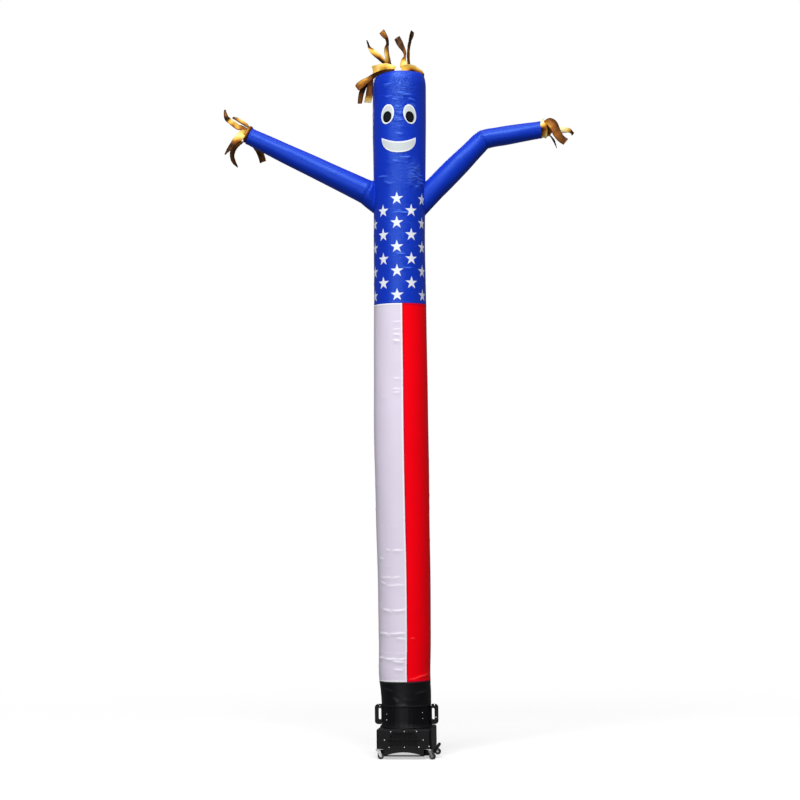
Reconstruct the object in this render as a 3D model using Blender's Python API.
"""Inflatable air dancer standing on its wheeled blower.

A 6 m tube of light cloth with a smiling face, two arms and satin ribbons, blown up by a fan in a
moulded housing on four swivel casters. Metres, +Z up. The origin is on the floor, under the middle
of the tube. The face looks along -Y, and the arms reach out along X.
"""
import math

import bmesh
import bpy
import numpy as np
from mathutils import Matrix


def table(columns, *rows):
    """Rows of numbers under named columns."""
    names = columns.split()
    return [dict(zip(names, row)) for row in rows]


def column(rows, name):
    return np.array([row[name] for row in rows], float)


# ------------------------------------------------------------------ driving dimensions: cloth
GAP = 0.0003                # clearance between neighbouring pieces
CLOTH = 0.0015              # tube cloth
TRIM = 0.001                # ribbons and the sewn-on face
TUBE_SIDES = 36
ARM_SIDES = 18
ROUND_SIDES = 48            # moulded round pieces

HEM_Z = 0.447               # lower edge of the black sleeve
SLEEVE_SEAM_Z = 0.653       # sleeve to stripes
STAR_SEAM_Z = 3.958         # stripes to the blue chest
SHOULDER_Z = 5.885          # the straight wall ends here and rounds over
CROWN_SEAM_Z = 6.008        # tube to the round top panel
CROWN_SEAM_R = 0.196
CROWN_FOOT = (0.001, 0.0, CROWN_SEAM_Z - CLOTH)
CROWN_RISE = 0.022          # how far the top panel domes up
WALL_HEIGHTS = np.linspace(STAR_SEAM_Z + GAP, SHOULDER_Z, 7)
FRONT_SEAM = 4.6            # degrees from the middle of the face to the white and red seam
STRIPES = 4                 # panels round the tube, white and red by turns

# The inflated tube: height, sideways place of its axis, outer radius.
TUBE = table(
    "z       x       r",
    (0.447, 0.000, 0.2170),
    (0.560, -0.0025, 0.2205),
    (0.660, -0.011, 0.2240),
    (1.000, -0.009, 0.2270),
    (1.600, -0.008, 0.2300),
    (2.100, -0.014, 0.2350),
    (2.750, -0.019, 0.2400),
    (3.400, -0.018, 0.2340),
    (3.960, -0.018, 0.2300),
    (4.600, -0.015, 0.2280),
    (5.300, -0.007, 0.2310),
    (5.885, 0.000, 0.2310),
    (6.008, 0.001, 0.2310),
)

# Arms, in the plane of the body: middle of each ring, its half height in that plane, its half depth,
# and the direction that it faces, in degrees from +X towards +Z.
LEFT_ROOT = table(
    "x       z      high    deep    face",
    (-0.110, 4.905, 0.1500, 0.1180, 180.0),
    (-0.225, 4.920, 0.1460, 0.1160, 178.0),
    (-0.262, 4.943, 0.1300, 0.1120, 168.0),
    (-0.309, 4.972, 0.1085, 0.1085, 153.8),
)
LEFT_ARM = table(
    "x       z      high    deep    face",
    (-0.309, 4.972, 0.1085, 0.1085, 153.8),
    (-0.378, 5.006, 0.1070, 0.1070, 153.8),
    (-0.589, 5.110, 0.1000, 0.1000, 153.8),
    (-0.872, 5.249, 0.0910, 0.0910, 153.8),
    (-1.154, 5.388, 0.0815, 0.0815, 153.8),
    (-1.296, 5.457, 0.0765, 0.0765, 153.8),
    (-1.339, 5.478, 0.0745, 0.0745, 153.8),
)
RIGHT_ARM = table(
    "x       z      high    deep    face",
    (0.120, 4.811, 0.1070, 0.1060, 45.5),
    (0.214, 4.906, 0.1050, 0.1050, 45.5),
    (0.294, 4.986, 0.1020, 0.1020, 45.5),
    (0.366, 5.057, 0.1025, 0.1025, 45.5),
    (0.510, 5.202, 0.0995, 0.0995, 45.5),
    (0.653, 5.345, 0.0905, 0.0905, 45.5),
    (0.736, 5.427, 0.0910, 0.0855, 27.2),
)
RIGHT_FOREARM = table(
    "x       z      high    deep    face",
    (0.736, 5.427, 0.0910, 0.0855, 27.2),
    (0.796, 5.437, 0.0860, 0.0860, 8.9),
    (0.939, 5.459, 0.0855, 0.0855, 8.9),
    (1.081, 5.481, 0.0810, 0.0810, 8.9),
    (1.223, 5.503, 0.0755, 0.0755, 8.9),
    (1.2505, 5.507, 0.0745, 0.0745, 8.9),
)
CAP_RISE = 0.018            # how far the round panel in a hand domes out
DOME_RINGS = 3

# Face, on the unrolled tube: across from the axis of the face, up, half width, half height, lean.
# lean is how far the foot of an oval is shifted outwards.
EYES = table(
    "s        z       half_w   half_h   lean",
    (-0.1121, 5.6250, 0.0618, 0.0868, -0.010),
    (0.0941, 5.6225, 0.0610, 0.0862, 0.011),
)
PUPILS = table(
    "s        z       half_w   half_h   lean",
    (-0.1130, 5.6020, 0.0400, 0.0495, -0.004),
    (0.0925, 5.5990, 0.0395, 0.0490, 0.004),
)
MOUTH = dict(middle=-0.0070, half_w=0.1600, corner_z=5.4150, upper_sag=0.0450, lower_sag=0.1265)
MOUTH_FULL = 0.42           # how round the lower edge is: 1 is a plain arc
MOUTH_CORNER = 0.006        # half height of the sewn corner
FACE_LIFT = 0.0007          # the face pieces' clearance over the tube, which is faceted

# ------------------------------------------------------------------ driving dimensions: ribbons
ROOT_W = 0.034              # a ribbon's sewn end, gathered
ROOT_RISE = 0.010           # it stands straight out of the seam for this far

# Every ribbon: the middle of the strip, its width, and how far it is turned away from the front.
# A ribbon with a root is sewn into the seam of a round panel: around is in degrees from the front
# (on the crown) or from the top (in a hand), and far is the distance from the panel's middle.
# The ones without a root stand on their long edge, along the crown's rim.
HAIR = {
    "hair_ribbon_left_high": (dict(around=-136, far=0.186), table(
        "x      y       z      w      turn",
        (-0.126, 0.105, 6.050, 0.046, -60),
        (-0.116, 0.045, 6.090, 0.050, 30),
        (-0.134, 0.005, 6.140, 0.054, 40),
        (-0.181, -0.010, 6.186, 0.058, 38),
        (-0.227, -0.020, 6.217, 0.058, 42),
        (-0.256, -0.020, 6.238, 0.050, 62),
        (-0.268, -0.020, 6.268, 0.030, 78),
        (-0.282, -0.020, 6.306, 0.016, 82),
    )),
    "hair_ribbon_middle": (dict(around=-166, far=0.186), table(
        "x      y       z      w      turn",
        (-0.066, 0.160, 6.060, 0.050, 35),
        (-0.084, 0.130, 6.130, 0.050, 50),
        (-0.098, 0.110, 6.180, 0.052, 42),
        (-0.112, 0.100, 6.220, 0.056, 35),
        (-0.116, 0.095, 6.260, 0.054, 48),
        (-0.107, 0.090, 6.304, 0.048, 66),
        (-0.112, 0.085, 6.341, 0.048, 50),
        (-0.134, 0.080, 6.375, 0.054, 15),
        (-0.156, 0.080, 6.403, 0.056, 5),
    )),
    "hair_ribbon_right": (dict(around=12, far=0.186), table(
        "x      y       z      w      turn",
        (0.041, -0.160, 6.055, 0.058, 8),
        (0.041, -0.125, 6.110, 0.052, 35),
        (0.041, -0.100, 6.170, 0.044, 76),
        (0.032, -0.090, 6.210, 0.052, 60),
        (0.020, -0.080, 6.245, 0.058, 25),
        (0.005, -0.070, 6.288, 0.058, 10),
        (-0.016, -0.060, 6.334, 0.056, 8),
    )),
    "hair_ribbon_right_high": (dict(around=155, far=0.186), table(
        "x      y       z      w      turn",
        (0.084, 0.150, 6.070, 0.052, 135),
        (0.085, 0.130, 6.125, 0.052, 118),
        (0.085, 0.112, 6.179, 0.052, 112),
        (0.089, 0.102, 6.271, 0.052, 112),
        (0.096, 0.100, 6.342, 0.054, 114),
        (0.124, 0.100, 6.426, 0.056, 112),
    )),
    "hair_ribbon_front_band": (None, table(
        "x      y       z      w      turn",
        (-0.034, -0.1830, 6.0298, 0.040, 6),
        (-0.070, -0.1700, 6.0352, 0.048, 8),
        (-0.110, -0.1460, 6.0395, 0.055, 10),
        (-0.150, -0.1140, 6.0410, 0.056, 12),
        (-0.190, -0.0820, 6.0415, 0.056, 10),
        (-0.226, -0.0600, 6.0405, 0.055, 6),
        (-0.246, -0.0500, 6.0390, 0.052, 4),
    )),
    "hair_ribbon_left_flag": (None, table(
        "x      y       z      w      turn",
        (-0.0440, -0.1925, 6.0183, 0.020, 0),
        (-0.0830, -0.1864, 6.0188, 0.024, 0),
        (-0.1380, -0.1640, 6.0160, 0.026, 0),
        (-0.1900, -0.1200, 6.0070, 0.028, 0),
        (-0.2290, -0.0820, 5.9890, 0.036, 0),
        (-0.2660, -0.0620, 5.9680, 0.044, 0),
        (-0.3180, -0.0560, 5.9340, 0.056, 0),
        (-0.3690, -0.0520, 5.8900, 0.062, 0),
    )),
    "hair_ribbon_left_drop": (dict(around=-80, far=0.186), table(
        "x      y       z      w      turn",
        (-0.206, -0.030, 6.0310, 0.036, -85),
        (-0.236, -0.026, 6.0130, 0.038, -80),
        (-0.262, -0.022, 5.9700, 0.042, -68),
        (-0.290, -0.018, 5.9280, 0.048, -50),
        (-0.322, -0.016, 5.8880, 0.050, -38),
        (-0.342, -0.016, 5.8440, 0.050, -34),
        (-0.354, -0.016, 5.8010, 0.050, -38),
        (-0.360, -0.016, 5.7590, 0.048, -42),
    )),
    "hair_ribbon_left_hang": (dict(around=-108, far=0.186), table(
        "x      y       z      w      turn",
        (-0.200, 0.064, 6.0290, 0.040, -112),
        (-0.232, 0.076, 6.0060, 0.044, -118),
        (-0.256, 0.082, 5.9600, 0.050, -140),
        (-0.270, 0.084, 5.9030, 0.056, -166),
        (-0.276, 0.084, 5.8480, 0.058, -176),
        (-0.280, 0.084, 5.7960, 0.058, -178),
    )),
    "hair_ribbon_right_band": (None, table(
        "x      y       z      w      turn",
        (0.072, -0.1715, 6.0278, 0.036, -4),
        (0.108, -0.1510, 6.0335, 0.044, -8),
        (0.146, -0.1200, 6.0345, 0.046, -12),
        (0.182, -0.0840, 6.0310, 0.046, -16),
        (0.216, -0.0520, 6.0190, 0.044, -26),
        (0.244, -0.0300, 5.9980, 0.040, -34),
    )),
}
LEFT_HAND = {
    "left_ribbon_high": (dict(around=-6, far=0.066), table(
        "x      y       z      w      turn",
        (-1.383, -0.006, 5.5860, 0.046, 80),
        (-1.421, -0.006, 5.6160, 0.046, 78),
        (-1.452, -0.006, 5.6350, 0.042, 74),
        (-1.486, -0.006, 5.6470, 0.034, 70),
    )),
    "left_ribbon_loop": (dict(around=-55, far=0.066), table(
        "x      y       z      w      turn",
        (-1.398, -0.068, 5.5380, 0.046, 40),
        (-1.432, -0.074, 5.5450, 0.048, 28),
        (-1.467, -0.074, 5.5740, 0.050, 30),
        (-1.501, -0.074, 5.6020, 0.044, 50),
        (-1.527, -0.074, 5.6240, 0.038, 74),
        (-1.538, -0.074, 5.6600, 0.040, 52),
        (-1.545, -0.074, 5.7020, 0.014, 60),
    )),
    "left_ribbon_fold": (dict(around=-100, far=0.066), table(
        "x      y       z      w      turn",
        (-1.388, -0.094, 5.4860, 0.050, 20),
        (-1.410, -0.108, 5.4660, 0.056, 8),
        (-1.440, -0.116, 5.4320, 0.058, 5),
        (-1.478, -0.118, 5.3870, 0.054, 15),
        (-1.512, -0.118, 5.3410, 0.036, 40),
        (-1.545, -0.118, 5.2970, 0.010, 60),
    )),
    "left_ribbon_long": (dict(around=-158, far=0.066), table(
        "x      y       z      w      turn",
        (-1.408, -0.034, 5.4220, 0.046, 40),
        (-1.438, -0.040, 5.4040, 0.052, 22),
        (-1.462, -0.044, 5.3780, 0.056, 15),
        (-1.477, -0.046, 5.3450, 0.052, 20),
        (-1.484, -0.046, 5.2960, 0.046, 30),
        (-1.471, -0.046, 5.2460, 0.040, 40),
        (-1.438, -0.046, 5.1940, 0.014, 50),
    )),
    "left_ribbon_behind": (dict(around=96, far=0.066), table(
        "x      y       z      w      turn",
        (-1.384, 0.098, 5.5000, 0.050, 120),
        (-1.366, 0.130, 5.4860, 0.054, 150),
        (-1.336, 0.138, 5.4580, 0.056, 168),
        (-1.297, 0.132, 5.4140, 0.058, 176),
        (-1.264, 0.126, 5.3640, 0.058, 178),
        (-1.243, 0.122, 5.3130, 0.058, 180),
        (-1.230, 0.120, 5.2640, 0.058, 182),
    )),
    "left_ribbon_knot": (dict(around=178, far=0.030), table(
        "x      y       z      w      turn",
        (-1.402, 0.006, 5.4980, 0.038, 84),
        (-1.410, 0.010, 5.5200, 0.038, 82),
        (-1.400, 0.012, 5.5400, 0.034, 80),
    )),
}
RIGHT_HAND = {
    "right_ribbon_broad": (dict(around=-46, far=0.066), table(
        "x      y       z      w      turn",
        (1.300, -0.072, 5.5700, 0.054, -22),
        (1.325, -0.086, 5.5640, 0.060, -12),
        (1.350, -0.096, 5.5340, 0.062, -6),
        (1.369, -0.102, 5.4890, 0.064, 0),
        (1.390, -0.104, 5.4440, 0.064, 4),
        (1.421, -0.104, 5.4050, 0.064, 6),
        (1.460, -0.104, 5.3790, 0.064, 4),
    )),
    "right_ribbon_pale": (dict(around=88, far=0.066), table(
        "x      y       z      w      turn",
        (1.304, 0.072, 5.5170, 0.048, 60),
        (1.350, 0.076, 5.5180, 0.054, 20),
        (1.400, 0.076, 5.5160, 0.056, 10),
        (1.457, 0.076, 5.5150, 0.054, 5),
        (1.500, 0.076, 5.5120, 0.042, 20),
        (1.524, 0.076, 5.4970, 0.034, 40),
        (1.540, 0.076, 5.4760, 0.034, 30),
    )),
    "right_ribbon_thin": (dict(around=-152, far=0.066), table(
        "x      y       z      w      turn",
        (1.305, -0.040, 5.4560, 0.036, -66),
        (1.334, -0.048, 5.4400, 0.034, -64),
        (1.357, -0.052, 5.4020, 0.030, -58),
        (1.381, -0.054, 5.3320, 0.012, -60),
    )),
    "right_ribbon_knot": (dict(around=168, far=0.030), table(
        "x      y       z      w      turn",
        (1.310, 0.008, 5.4780, 0.040, -78),
        (1.326, 0.012, 5.5000, 0.042, -72),
        (1.318, 0.014, 5.5230, 0.040, -74),
    )),
    "right_ribbon_tuft": (dict(around=-2, far=0.066), table(
        "x      y       z      w      turn",
        (1.274, -0.008, 5.5980, 0.040, -66),
        (1.290, -0.010, 5.6120, 0.042, -60),
        (1.308, -0.012, 5.6040, 0.038, -58),
        (1.318, -0.012, 5.5860, 0.034, -60),
    )),
}

# ------------------------------------------------------------------ driving dimensions: blower
BLOWER_YAW = -7.0           # degrees, so that its right side shows from the front
BLOWER_X = 0.0
BOX_W, BOX_D = 0.478, 0.470
BOX_LOW, BOX_HIGH = 0.0375, 0.2620
BOX_CORNER_R = 0.022
BOX_TOP_R = 0.014
WALL = 0.005
FLOOR_LOW = 0.062           # underside of the housing's own floor
NOTCH_X, NOTCH_Y = 0.174, 0.152
NOTCH_HIGH = 0.0888         # the casters are screwed up to this face
ARCH_HALF, ARCH_RISE = 0.148, 0.024
RAIL_LOW, RAIL_HIGH, RAIL_W = 0.0272, 0.0372, 0.012

DUCT_R = 0.2140
DUCT_WALL = 0.004
DUCT_HOLE_R = 0.2000
# Outside of the duct, from its top down to the flange on the housing.
DUCT_PROFILE = table(
    "r       z",
    (0.2110, 0.5600),
    (0.2130, 0.5520),
    (0.2140, 0.4600),
    (0.2140, 0.3150),
    (0.2150, 0.2980),
    (0.2200, 0.2820),
    (0.2290, 0.2740),
    (0.2320, 0.2700),
    (0.2320, 0.2623),
)

# Intake guard: the corners of its six-sided plate, where the screws go.
GUARD_CORNERS = table("x z", (0.114, 0.2425), (0.170, 0.168), (0.130, 0.104))
GUARD_MARGIN = 0.010        # plate outside the screws
INTAKE_MARGIN = 0.012       # opening inside the screws
GUARD_T = 0.003
SLOT_PITCH, SLOT_W = 0.022, 0.015
SLOT_BAR_Z, SLOT_BAR_H = 0.172, 0.008

HANDLE_LOW, HANDLE_HIGH = 0.285, 0.460
HANDLE_SEAT = (0.3155, 0.4445)   # it is screwed to the duct between the flange and the sleeve
HANDLE_STEP = 0.007         # and stands clear of them beyond
HANDLE_DEEP = 0.034         # along the duct's skin
HANDLE_REACH = 0.064        # out from the duct
HANDLE_R = 0.029
GRIP_LOW, GRIP_HIGH = 0.326, 0.425
GRIP_IN, GRIP_OUT = 0.008, 0.033
GRIP_R = 0.010

# Rope cleat low on the right side: a slanted bar on a foot.
CLEAT_Y = -0.098
CLEAT_LENGTH, CLEAT_THICK, CLEAT_DEEP = 0.096, 0.026, 0.040
CLEAT_SLANT = 56.0
CLEAT_MIDDLE = dict(x=0.2745, z=0.0900)

# Swivel casters: place in the housing's frame, and the way that each has swung round.
CASTER_X, CASTER_Y = 0.227, 0.205
CASTERS = {
    "front_left": dict(x=-CASTER_X, y=-CASTER_Y, swing=7.0),
    "front_right": dict(x=CASTER_X, y=-CASTER_Y, swing=-24.0),
    "rear_left": dict(x=-CASTER_X, y=CASTER_Y, swing=16.0),
    "rear_right": dict(x=CASTER_X, y=CASTER_Y, swing=-3.0),
}
WHEEL_R, WHEEL_W = 0.027, 0.020
WHEEL_SIDES = 24
TRAIL = 0.022
AXLE_R, BORE_R = 0.0040, 0.0045
AXLE_HALF = 0.0165
LEG_IN, LEG_T = 0.0112, 0.003
LEG_EYE_R = 0.009
RACE_R, RACE_LOW, RACE_HIGH = 0.0210, 0.0780, 0.0842
PLATE_HALF, PLATE_LOW, PLATE_HIGH = 0.0280, 0.0845, 0.0885
PLATE_SHIFT = 0.018         # the plate's middle lies inwards of the swivel, on the notch's ceiling

# Finishes: colour, roughness, metallic.
FINISHES = {
    "blue_cloth": ((0.015, 0.045, 0.62), 0.42, 0.0),
    "white_cloth": ((0.78, 0.78, 0.84), 0.50, 0.0),
    "red_cloth": ((0.80, 0.004, 0.010), 0.45, 0.0),
    "black_cloth": ((0.020, 0.020, 0.022), 0.55, 0.0),
    "face_white": ((0.88, 0.88, 0.92), 0.50, 0.0),
    "face_black": ((0.012, 0.012, 0.014), 0.50, 0.0),
    "gold_satin": ((0.72, 0.43, 0.08), 0.30, 0.0),
    "moulded_black": ((0.024, 0.024, 0.027), 0.45, 0.0),
    "zinc": ((0.72, 0.73, 0.74), 0.32, 1.0),
    "wheel_rubber": ((0.018, 0.018, 0.018), 0.70, 0.0),
}


# ------------------------------------------------------------------ helpers
def clear_scene():
    for old in list(bpy.data.objects):
        bpy.data.objects.remove(old, do_unlink=True)


def finish(name):
    """The Principled material of one finish."""
    found = bpy.data.materials.get(name)
    if found:
        return found
    colour, roughness, metallic = FINISHES[name]
    made = bpy.data.materials.new(name)
    made.use_nodes = True
    shader = made.node_tree.nodes["Principled BSDF"]
    shader.inputs["Base Color"].default_value = (*colour, 1.0)
    shader.inputs["Roughness"].default_value = roughness
    shader.inputs["Metallic"].default_value = metallic
    return made


def mesh_from(bm, name):
    """Close a bmesh into a mesh with its faces pointing out."""
    bmesh.ops.remove_doubles(bm, verts=bm.verts, dist=1e-6)
    bmesh.ops.recalc_face_normals(bm, faces=bm.faces)
    mesh = bpy.data.meshes.new(name)
    bm.to_mesh(mesh)
    bm.free()
    return mesh


def place(name, mesh, look, parent=None, at=(0, 0, 0), turn=0.0):
    """A named object with one finish, turned about Z by turn degrees."""
    thing = bpy.data.objects.new(name, mesh)
    bpy.context.collection.objects.link(thing)
    mesh.materials.clear()
    mesh.materials.append(finish(look))
    mesh.shade_smooth()
    mesh.set_sharp_from_angle(angle=math.radians(35))
    thing.parent = parent
    thing.location = at
    thing.rotation_euler = (0, 0, math.radians(turn))
    return thing


def combine(name, base, *steps):
    """Cut and join meshes in turn: each step is an operation and a mesh."""
    body = bpy.data.objects.new(name, base)
    bpy.context.collection.objects.link(body)
    tools = []
    for operation, mesh in steps:
        tool = bpy.data.objects.new(name + "_tool", mesh)
        bpy.context.collection.objects.link(tool)
        tools.append(tool)
        cut = body.modifiers.new("cut", "BOOLEAN")
        cut.solver = "EXACT"
        cut.operation = operation
        cut.object = tool
    graph = bpy.context.evaluated_depsgraph_get()
    made = bpy.data.meshes.new_from_object(body.evaluated_get(graph))
    for old in tools + [body]:
        bpy.data.objects.remove(old, do_unlink=True)
    return made


def smooth(at, places, values):
    """A curve through the points of a table, with the slope of each point's neighbours."""
    at = np.asarray(at, float)
    slopes = np.gradient(values, places)
    i = np.clip(np.searchsorted(places, at) - 1, 0, len(places) - 2)
    span = places[i + 1] - places[i]
    t = (at - places[i]) / span
    return (
        (1 + 2 * t) * (1 - t) ** 2 * values[i]
        + t * (1 - t) ** 2 * span * slopes[i]
        + t ** 2 * (3 - 2 * t) * values[i + 1]
        + t ** 2 * (t - 1) * span * slopes[i + 1]
    )


def sheet(name, outer, inner, wrap=False):
    """The thin closed solid between two grids of points, each (rows, columns, 3).

    With wrap the grids go all the way round, and a last row in one point closes a disc.
    """
    rows, columns = outer.shape[:2]
    bm = bmesh.new()
    skin = [[[bm.verts.new(p) for p in row] for row in grid] for grid in (outer, inner)]
    across = range(columns if wrap else columns - 1)
    for grid in skin:
        for i in range(rows - 1):
            for j in across:
                k = (j + 1) % columns
                bm.faces.new((grid[i][j], grid[i][k], grid[i + 1][k], grid[i + 1][j]))
    ends = [i for i in (0, rows - 1) if np.ptp(outer[i], axis=0).max() > GAP]
    for i in ends:
        for j in across:
            k = (j + 1) % columns
            bm.faces.new((skin[0][i][j], skin[0][i][k], skin[1][i][k], skin[1][i][j]))
    if not wrap:
        for j in (0, columns - 1):
            for i in range(rows - 1):
                bm.faces.new((skin[0][i][j], skin[0][i + 1][j], skin[1][i + 1][j], skin[1][i][j]))
    return mesh_from(bm, name)


def drum(name, grid):
    """A closed solid skinned over a stack of rings (rows, columns, 3)."""
    bm = bmesh.new()
    rings = [[bm.verts.new(p) for p in row] for row in grid]
    count = len(rings[0])
    for low, high in zip(rings, rings[1:]):
        for j in range(count):
            k = (j + 1) % count
            bm.faces.new((low[j], low[k], high[k], high[j]))
    bm.faces.new(rings[0])
    bm.faces.new(rings[-1])
    return mesh_from(bm, name)


def prism(name, outline, low, high, axis="z"):
    """An outline pushed from low to high along one axis. It is given in the other two, in order."""
    spot = {
        "x": lambda a, b, c: (c, a, b),
        "y": lambda a, b, c: (a, c, b),
        "z": lambda a, b, c: (a, b, c),
    }[axis]
    grid = [[spot(a, b, c) for a, b in outline] for c in (low, high)]
    return drum(name, grid)


def block(name, x, y, z):
    """A plain box from pairs of limits."""
    outline = [(x[0], y[0]), (x[1], y[0]), (x[1], y[1]), (x[0], y[1])]
    return prism(name, outline, z[0], z[1])


def arc(middle, radius, start, stop, steps):
    """Points along an arc, in degrees from the first axis towards the second."""
    angles = np.radians(np.linspace(start, stop, steps + 1))
    return [(middle[0] + radius * math.cos(a), middle[1] + radius * math.sin(a)) for a in angles]


def rounded(a, b, radius, steps=4):
    """A rectangle with round corners, from pairs of limits."""
    spots = (
        ((a[1] - radius, b[1] - radius), 0),
        ((a[0] + radius, b[1] - radius), 90),
        ((a[0] + radius, b[0] + radius), 180),
        ((a[1] - radius, b[0] + radius), 270),
    )
    points = []
    for middle, start in spots:
        points += arc(middle, radius, start, start + 90, steps)
    return points


def rod(name, radius, low, high, sides, axis="y", middle=(0, 0)):
    """A round bar. Each axis goes through the middle of a side, so that it has a flat foot."""
    half = 180 / sides
    outline = arc(middle, radius, half, 360 - half, sides - 1)
    return prism(name, outline, low, high, axis)


# ------------------------------------------------------------------ the tube and its panels
def tube_axis(z):
    return smooth(z, column(TUBE, "z"), column(TUBE, "x"))


def tube_radius(z):
    """The table's radius, drawn in along a quarter of an ellipse above the shoulder."""
    wide = smooth(z, column(TUBE, "z"), column(TUBE, "r"))
    t = np.clip((np.asarray(z, float) - SHOULDER_Z) / (CROWN_SEAM_Z - SHOULDER_Z), 0, 1)
    return wide - (wide - CROWN_SEAM_R) * (1 - np.sqrt(1 - t ** 2))


def tube_grid(heights, angles, lift=0.0):
    """Points on the tube, lift off its surface: angles in degrees from the face towards +X."""
    z = np.asarray(heights, float)[:, None]
    a = np.radians(np.asarray(angles, float))[None, :]
    step = 1e-4
    slope = (tube_radius(z) - tube_radius(z - step)) / step
    out = 1 / np.sqrt(1 + slope ** 2)
    r = tube_radius(z) + lift * out
    return np.stack(
        (
            tube_axis(z) + r * np.sin(a),
            -r * np.cos(a),
            z - lift * slope * out + 0 * a,
        ),
        axis=-1,
    )


def whole_turn(sides, start=0.0):
    return start + np.arange(sides) * 360 / sides


def tube_turn():
    return whole_turn(TUBE_SIDES, FRONT_SEAM)


def dome(radius, rise):
    """Rings of a domed disc, and their heights."""
    r = np.linspace(radius, 0, DOME_RINGS + 1)
    return r, rise * (1 - (r / radius) ** 2)


def round_panel(name, radius, rise, sides, start=0.0):
    """A domed disc: the foot of its rim is at z = 0."""
    a = np.radians(whole_turn(sides, start))
    grids = []
    for lift in (CLOTH, 0.0):
        r, z = (value[:, None] for value in dome(radius, rise))
        z = z + lift
        grids.append(np.stack((r * np.sin(a), -r * np.cos(a), z + 0 * a), axis=-1))
    return sheet(name, grids[0], grids[1], wrap=True)


def arm_grid(rows, lift=0.0, start=0.0):
    """Rings of an arm: lift off its surface, the first ring moved on by start."""
    a = np.radians(whole_turn(ARM_SIDES))
    rings = []
    for number, row in enumerate(rows):
        face = math.radians(row["face"])
        ahead = np.array([math.cos(face), 0, math.sin(face)])
        up = np.array([-math.sin(face), 0, math.cos(face)])
        if up[2] < 0:
            up = -up
        middle = np.array([row["x"], 0, row["z"]]) + (start if number == 0 else 0) * ahead
        high = (row["high"] + lift) * np.cos(a)[:, None] * up
        deep = (row["deep"] + lift) * np.sin(a)[:, None] * np.array([0, 1, 0])
        rings.append(middle + high + deep)
    return np.array(rings)


def make_tube():
    """Blue chest and head, with a hole where each arm opens into it."""
    share = np.sin(np.radians((24, 46, 64, 78, 90)))
    shoulder = SHOULDER_Z + (CROWN_SEAM_Z - SHOULDER_Z) * share
    heights = np.concatenate((WALL_HEIGHTS, shoulder))
    turn = tube_turn()
    body = sheet("body", tube_grid(heights, turn), tube_grid(heights, turn, -CLOTH), wrap=True)
    left = drum("left_bore", arm_grid(LEFT_ROOT, -CLOTH - GAP))
    right = drum("right_bore", arm_grid(RIGHT_ARM[:4], -CLOTH - GAP))
    mesh = combine("blue_tube", body, ("DIFFERENCE", left), ("DIFFERENCE", right))
    place("blue_tube", mesh, "blue_cloth")

    top = round_panel("crown", CROWN_SEAM_R - 1.5 * GAP, CROWN_RISE, TUBE_SIDES, FRONT_SEAM)
    place("crown_panel", top, "blue_cloth", at=CROWN_FOOT)


def make_stripes():
    """Long panels below the chest, white and red by turns, sewn edge to edge."""
    heights = np.linspace(SLEEVE_SEAM_Z + GAP, STAR_SEAM_Z, 8)
    width = 360 / STRIPES
    slit = math.degrees(GAP / 2 / column(TUBE, "r").min())
    looks = (("red", "red_cloth"), ("white", "white_cloth"))
    for number in range(STRIPES):
        low = FRONT_SEAM + number * width + slit
        angles = np.linspace(low, low + width - 2 * slit, TUBE_SIDES // STRIPES + 1)
        word, look = looks[number % 2]
        name = f"{word}_panel_{number // 2 + 1}"
        mesh = sheet(name, tube_grid(heights, angles), tube_grid(heights, angles, -CLOTH))
        place(name, mesh, look)


def make_sleeve():
    """Black sleeve, pulled down over the blower's duct."""
    heights = np.linspace(HEM_Z, SLEEVE_SEAM_Z, 4)
    turn = tube_turn()
    mesh = sheet("sleeve", tube_grid(heights, turn), tube_grid(heights, turn, -CLOTH), wrap=True)
    place("base_sleeve", mesh, "black_cloth")


def make_arms():
    """Arms in mitred lengths, with a domed round panel in each hand."""
    for name, rows, start, cut in (
        ("left_arm_root", LEFT_ROOT, 0.0, True),
        ("left_arm", LEFT_ARM, GAP, False),
        ("right_arm", RIGHT_ARM, 0.0, True),
        ("right_forearm", RIGHT_FOREARM, GAP, False),
    ):
        mesh = sheet(name, arm_grid(rows, 0, start), arm_grid(rows, -CLOTH, start), wrap=True)
        if cut:
            body = drum("body", tube_grid(WALL_HEIGHTS, tube_turn(), GAP))
            mesh = combine(name, mesh, ("DIFFERENCE", body))
        place(name, mesh, "blue_cloth")

    for side, rows in (("left", LEFT_ARM), ("right", RIGHT_FOREARM)):
        last = rows[-1]
        mesh = round_panel(side, last["high"], CAP_RISE, ARM_SIDES)
        mesh.transform(hand_frame(rows) @ Matrix.Translation((0, 0, GAP)))
        place(f"{side}_hand_panel", mesh, "blue_cloth")


def hand_frame(rows):
    """Matrix of the hand's end: its z points out of the hand, and its x points up across it."""
    last = rows[-1]
    face = math.radians(last["face"])
    out = np.array([math.cos(face), 0, math.sin(face)])
    up = np.array([-math.sin(face), 0, math.cos(face)])
    if up[2] < 0:
        up = -up
    side = np.cross(out, up)
    frame = Matrix.Identity(4)
    for i in range(3):
        frame[i][0], frame[i][1], frame[i][2] = up[i], side[i], out[i]
    frame.translation = (last["x"], 0, last["z"])
    return frame


# ------------------------------------------------------------------ the sewn-on face
def face_patch(name, across, up, lift, look, wrap):
    """A patch laid on the tube: across and up are grids on the unrolled cloth."""
    radius = float(tube_radius(MOUTH["corner_z"]))
    angle = across / radius
    grids = []
    for out in (lift + TRIM, lift):
        r = tube_radius(up) + out
        grids.append(np.stack((tube_axis(up) + r * np.sin(angle), -r * np.cos(angle), up), axis=-1))
    place(name, sheet(name, grids[0], grids[1], wrap), look)


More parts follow.
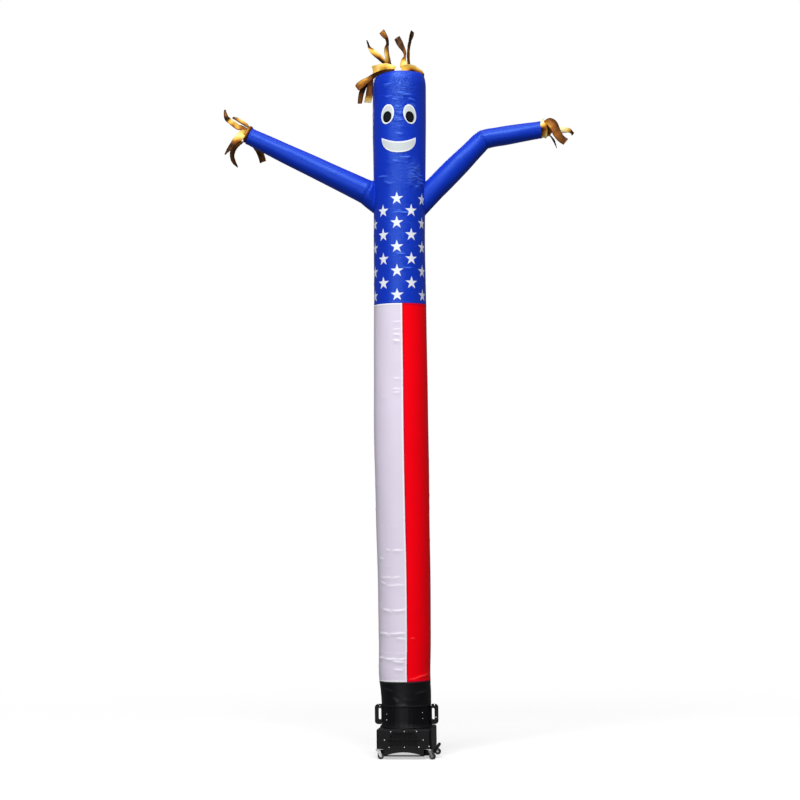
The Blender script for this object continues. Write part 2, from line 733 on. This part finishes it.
def oval(row, sectors, rings):
    """Rings of a leaning oval on the unrolled cloth, from its edge to its middle."""
    a = np.radians(whole_turn(sectors))[None, :]
    share = np.linspace(1, 0, rings + 1)[:, None]
    up = share * np.cos(a)
    across = row["s"] + row["half_w"] * share * np.sin(a) - row["lean"] * up
    return across, row["z"] + row["half_h"] * up


def make_face():
    """Two oval eyes with oval pupils, and a crescent mouth."""
    for side, eye, pupil in zip(("left", "right"), EYES, PUPILS):
        across, up = oval(eye, 20, 3)
        face_patch(f"{side}_eye_white", across, up, FACE_LIFT, "face_white", True)
        across, up = oval(pupil, 16, 2)
        above = FACE_LIFT + TRIM + FACE_LIFT
        face_patch(f"{side}_pupil", across, up, above, "face_black", True)
    t = np.sin(np.radians(np.linspace(-90, 90, 17)))[None, :]
    down = np.linspace(0, 1, 3)[:, None]
    bow = 1 - t ** 2
    upper = MOUTH["corner_z"] + MOUTH_CORNER - MOUTH["upper_sag"] * bow
    lower = MOUTH["corner_z"] - MOUTH_CORNER - MOUTH["lower_sag"] * bow ** MOUTH_FULL
    across = MOUTH["middle"] + MOUTH["half_w"] * t + 0 * down
    face_patch("mouth", across, upper + (lower - upper) * down, FACE_LIFT, "face_white", False)


# ------------------------------------------------------------------ ribbons
def seat(frame, radius, rise, root, way):
    """Where a ribbon is sewn into a round panel: the place, the way out, and the way along the seam."""
    a = math.radians(way * root["around"])
    rings, heights = dome(radius, rise)
    out = float(np.interp(root["far"], rings[::-1], heights[::-1])) + CLOTH + 2 * GAP
    place_on = frame @ Matrix.Translation((root["far"] * math.cos(a), root["far"] * math.sin(a), out))
    turned = frame.to_3x3()
    axis = np.array(turned.col[2])
    tangent = np.array(turned @ Matrix.Rotation(a, 3, "Z").col[1])
    return np.array(place_on.translation), axis, tangent


def ribbon(name, rows, sewn=None, steps=2):
    """A satin strip along the rows of its table, with its own width and turn at each."""
    if sewn:
        foot, axis, tangent = sewn
        ends = [foot, foot + ROOT_RISE * axis]
        lead = [dict(x=p[0], y=p[1], z=p[2], w=ROOT_W, turn=rows[0]["turn"]) for p in ends]
        rows = lead + rows
    places = np.arange(len(rows), dtype=float)
    at = np.linspace(0, places[-1], steps * (len(rows) - 1) + 1)
    x, y, z, w, turn = (smooth(at, places, column(rows, c)) for c in ("x", "y", "z", "w", "turn"))
    path = np.stack((x, y, z), axis=-1)
    if sewn:
        path[:steps + 1] = foot + at[:steps + 1, None] * ROOT_RISE * axis
    along = np.gradient(path, axis=0)
    along /= np.linalg.norm(along, axis=1)[:, None]
    level = np.stack((along[:, 2], 0 * at, -along[:, 0]), axis=-1)
    level /= np.linalg.norm(level, axis=1)[:, None]
    back = np.cross(along, level)
    turn = np.radians(turn)[:, None]
    wide = np.cos(turn) * level + np.sin(turn) * back
    if sewn:
        hold = np.clip(2 - at, 0, 1)[:, None]
        tangent = tangent * np.sign(wide[2 * steps] @ tangent)
        wide = hold * tangent + (1 - hold) * wide
        wide -= (wide * along).sum(axis=1)[:, None] * along
        wide /= np.linalg.norm(wide, axis=1)[:, None]
    half = TRIM / 2 * np.cross(along, wide)[:, None, :]
    share = np.array((-0.5, 0.5))[None, :, None]
    middle = path[:, None, :] + share * (w[:, None] * wide)[:, None, :]
    place(name, sheet(name, middle + half, middle - half), "gold_satin")


def make_ribbons():
    """Ribbons round the crown seam and in each hand's seam."""
    crown = Matrix.Translation(CROWN_FOOT) @ Matrix.Rotation(math.radians(-90), 4, "Z")
    left, right = hand_frame(LEFT_ARM), hand_frame(RIGHT_FOREARM)
    for frame, radius, rise, ribbons, way in (
        (crown, CROWN_SEAM_R - 1.5 * GAP, CROWN_RISE, HAIR, 1),
        (left, LEFT_ARM[-1]["high"], CAP_RISE, LEFT_HAND, 1),
        (right, RIGHT_FOREARM[-1]["high"], CAP_RISE, RIGHT_HAND, -1),
    ):
        for name, (root, rows) in ribbons.items():
            ribbon(name, rows, seat(frame, radius, rise, root, way) if root else None)


# ------------------------------------------------------------------ blower
def notch_outline(inset=0.0):
    """The housing's plan at its foot, with a corner cut out for each caster."""
    x, y = BOX_W / 2 - inset, BOX_D / 2 - inset
    near_x, near_y = NOTCH_X - inset, NOTCH_Y - inset
    return [
        (near_x, -y), (near_x, -near_y), (x, -near_y), (x, near_y), (near_x, near_y), (near_x, y),
        (-near_x, y), (-near_x, near_y), (-x, near_y), (-x, -near_y), (-near_x, -near_y), (-near_x, -y),
    ]


def guard_outline(margin):
    """The guard's six corners, each moved out from the guard's middle by margin."""
    half = [(row["x"], row["z"]) for row in GUARD_CORNERS]
    ring = half + [(-x, z) for x, z in reversed(half)]
    middle = (0.0, 0.172)
    out = []
    for x, z in ring:
        dx, dz = x - middle[0], z - middle[1]
        far = math.hypot(dx, dz)
        out.append((middle[0] + dx * (far + margin) / far, middle[1] + dz * (far + margin) / far))
    return out


def make_housing(blower):
    """Moulded box, hollow, with caster notches, low arches, two intakes and the duct's hole."""
    half_x, half_y = BOX_W / 2, BOX_D / 2
    outline = rounded((-half_x, half_x), (-half_y, half_y), BOX_CORNER_R)
    inner = rounded(
        (-half_x + WALL, half_x - WALL), (-half_y + WALL, half_y - WALL), BOX_CORNER_R - WALL
    )
    grid = [[(x, y, z) for x, y in outline] for z in (BOX_LOW, BOX_HIGH - BOX_TOP_R)]
    for turn in (30, 60, 90):
        draw = BOX_TOP_R * (1 - math.cos(math.radians(turn)))
        z = BOX_HIGH - BOX_TOP_R + BOX_TOP_R * math.sin(math.radians(turn))
        grid.append([(x * (1 - draw / half_x), y * (1 - draw / half_y), z) for x, y in outline])
    box = drum("box", grid)

    cuts = []
    for sx in (-1, 1):
        for sy in (-1, 1):
            xs = sorted((sx * NOTCH_X, sx * BOX_W))
            ys = sorted((sy * NOTCH_Y, sy * BOX_D))
            cuts.append(block("notch", xs, ys, (0, NOTCH_HIGH)))
    ceiling = NOTCH_HIGH + WALL
    cuts.append(prism("room", inner, ceiling, BOX_HIGH - WALL))
    foot = notch_outline(WALL)
    cuts.append(prism("low_room", foot, FLOOR_LOW + WALL, ceiling + 0.001))
    cuts.append(prism("under", foot, 0, FLOOR_LOW))
    cuts.append(rod("throat", DUCT_HOLE_R, BOX_HIGH - 0.02, BOX_HIGH + 0.02, ROUND_SIDES, "z"))
    cuts.append(prism("intake", guard_outline(-INTAKE_MARGIN), -BOX_D, BOX_D, "y"))
    radius = (ARCH_HALF ** 2 + ARCH_RISE ** 2) / (2 * ARCH_RISE)
    spread = math.degrees(math.asin(ARCH_HALF / radius))
    crown = (0, BOX_LOW + ARCH_RISE - radius)
    arch = arc(crown, radius, 90 - spread, 90 + spread, 12) + [(-ARCH_HALF, 0), (ARCH_HALF, 0)]
    cuts.append(prism("arch", arch, -BOX_D, BOX_D, "y"))
    mesh = combine("housing", box, *[("DIFFERENCE", cut) for cut in cuts])
    place("housing", mesh, "moulded_black", blower)


def make_rail(blower):
    """Flat frame under the housing's skirt."""
    outer = np.array([[(x, y, z) for x, y in notch_outline(0.0)] for z in (RAIL_LOW, RAIL_HIGH)])
    inner = np.array([[(x, y, z) for x, y in notch_outline(RAIL_W)] for z in (RAIL_LOW, RAIL_HIGH)])
    place("base_rail", sheet("rail", outer, inner, wrap=True), "moulded_black", blower)


def make_duct(blower):
    """Round duct that the sleeve is pulled over, with a flange on the housing."""
    a = np.radians(whole_turn(TUBE_SIDES))
    z = column(DUCT_PROFILE, "z")[:, None] + 0 * a
    outer = column(DUCT_PROFILE, "r")[:, None]
    inner = np.minimum(outer, DUCT_R) - DUCT_WALL
    skins = [np.stack((r * np.sin(a), -r * np.cos(a), z), axis=-1) for r in (outer, inner)]
    place("duct", sheet("duct", skins[0], skins[1], wrap=True), "moulded_black", blower)


def make_handles(blower):
    """A D handle on each side of the duct, with a finger gap."""
    near = DUCT_R + GAP
    far = near + HANDLE_REACH
    corner = far - HANDLE_R
    step = near + HANDLE_STEP
    outline = (
        [(near, HANDLE_SEAT[0]), (step, HANDLE_LOW)]
        + arc((corner, HANDLE_LOW + HANDLE_R), HANDLE_R, -90, 0, 5)
        + arc((corner, HANDLE_HIGH - HANDLE_R), HANDLE_R, 0, 90, 5)
        + [(step, HANDLE_HIGH), (step, HANDLE_SEAT[1]), (near, HANDLE_SEAT[1])]
    )
    hole = rounded((near + GRIP_IN, near + GRIP_OUT), (GRIP_LOW, GRIP_HIGH), GRIP_R, 3)
    for side, turn in (("left", 180), ("right", 0)):
        body = prism("handle", outline, -HANDLE_DEEP / 2, HANDLE_DEEP / 2, "y")
        gap = prism("gap", hole, -HANDLE_DEEP, HANDLE_DEEP, "y")
        place(f"{side}_handle", combine("handle", body, ("DIFFERENCE", gap)), "moulded_black",
              blower, turn=turn)


def make_guards(blower):
    """Slotted plate over each intake."""
    face = BOX_D / 2 + GAP
    tops = [(row["x"], row["z"]) for row in GUARD_CORNERS]
    for side, turn in (("front", 0), ("rear", 180)):
        plate = prism("guard", guard_outline(GUARD_MARGIN), -face - GUARD_T, -face, "y")
        cuts = []
        count = 6
        for number in range(-count, count + 1):
            x = number * SLOT_PITCH
            far = abs(x) + SLOT_W / 2 + INTAKE_MARGIN
            high = np.interp(far, (tops[0][0], tops[1][0]), (tops[0][1], tops[1][1]))
            low = np.interp(far, (tops[2][0], tops[1][0]), (tops[2][1], tops[1][1]))
            xs = (x - SLOT_W / 2, x + SLOT_W / 2)
            bar = (SLOT_BAR_Z - SLOT_BAR_H / 2, SLOT_BAR_Z + SLOT_BAR_H / 2)
            for a, b in ((low + INTAKE_MARGIN, bar[0]), (bar[1], high - INTAKE_MARGIN)):
                if b - a > SLOT_W / 2:
                    cuts.append(("DIFFERENCE", block("slot", xs, (-face - 0.02, -face + 0.02), (a, b))))
        place(f"{side}_guard", combine("guard", plate, *cuts), "moulded_black", blower, turn=turn)


def make_cleat(blower):
    """Slanted rope cleat on the housing's right side, on a short foot."""
    slant = math.radians(CLEAT_SLANT)
    long, thick = CLEAT_LENGTH / 2, CLEAT_THICK / 2
    flat = rounded((-long, long), (-thick, thick), thick * 0.8, 4)
    ca, sa = math.cos(slant), math.sin(slant)
    middle = CLEAT_MIDDLE
    outline = [(middle["x"] + a * ca - b * sa, middle["z"] + a * sa + b * ca) for a, b in flat]
    deep = (CLEAT_Y - CLEAT_DEEP / 2, CLEAT_Y + CLEAT_DEEP / 2)
    bar = prism("bar", outline, deep[0], deep[1], "y")
    wall = BOX_W / 2 + GAP
    reach = (wall, middle["x"] - 0.012)
    foot = block("foot", reach, (deep[0] + 0.006, deep[1] - 0.006), (0.048, 0.074))
    outer = block("beyond", (0, wall), (-0.3, 0.3), (0, 0.3))
    mesh = combine("cleat", bar, ("UNION", foot), ("DIFFERENCE", outer))
    place("side_cleat", mesh, "moulded_black", blower)


def make_casters(blower):
    """Four swivel casters: a plate under the housing, a fork that swivels, a wheel that rolls."""
    trail = (TRAIL, WHEEL_R)
    eye = arc(trail, LEG_EYE_R, 20, -160, 8)
    leg = [(-0.017, RACE_LOW + 0.002), (0.019, RACE_LOW + 0.002)] + eye
    top = rod("race", RACE_R, RACE_LOW, RACE_HIGH, 24, "z")
    parts = [prism("leg", leg, s * LEG_IN, s * (LEG_IN + LEG_T), "y") for s in (-1, 1)]
    parts.append(rod("axle", AXLE_R, -AXLE_HALF, AXLE_HALF, 12, "y", trail))
    fork_mesh = combine("fork", top, *[("UNION", part) for part in parts])

    flat = WHEEL_R / math.cos(math.pi / WHEEL_SIDES)
    tyre = rod("tyre", flat, -WHEEL_W / 2, WHEEL_W / 2, WHEEL_SIDES)
    bore = rod("bore", BORE_R, -WHEEL_W, WHEEL_W, 16, "y")
    wheel_mesh = combine("wheel", tyre, ("DIFFERENCE", bore))

    for where, row in CASTERS.items():
        inward = (-math.copysign(PLATE_SHIFT, row["x"]), -math.copysign(PLATE_SHIFT, row["y"]))
        reach_x = sorted((row["x"] + inward[0] - PLATE_HALF, row["x"] + inward[0] + PLATE_HALF))
        reach_y = sorted((row["y"] + inward[1] - PLATE_HALF, row["y"] + inward[1] + PLATE_HALF))
        plate = prism("plate", rounded(reach_x, reach_y, 0.005, 3), PLATE_LOW, PLATE_HIGH)
        place(f"caster_{where}_plate", plate, "zinc", blower)
        swivel = bpy.data.objects.new(f"swivel_{where}", None)
        bpy.context.collection.objects.link(swivel)
        swivel.parent = blower
        swivel.location = (row["x"], row["y"], 0)
        swivel.rotation_euler = (0, 0, math.radians(row["swing"]))
        place(f"caster_{where}_fork", fork_mesh, "zinc", swivel)
        place(f"caster_{where}_wheel", wheel_mesh, "wheel_rubber", swivel, at=(TRAIL, 0, WHEEL_R))


def make_blower():
    """The blower, turned a little so that its right side shows."""
    blower = bpy.data.objects.new("blower", None)
    bpy.context.collection.objects.link(blower)
    blower.location = (BLOWER_X, 0, 0)
    blower.rotation_euler = (0, 0, math.radians(BLOWER_YAW))
    make_housing(blower)
    make_rail(blower)
    make_duct(blower)
    make_handles(blower)
    make_guards(blower)
    make_cleat(blower)
    make_casters(blower)


clear_scene()
make_tube()
make_stripes()
make_sleeve()
make_arms()
make_face()
make_ribbons()
make_blower()
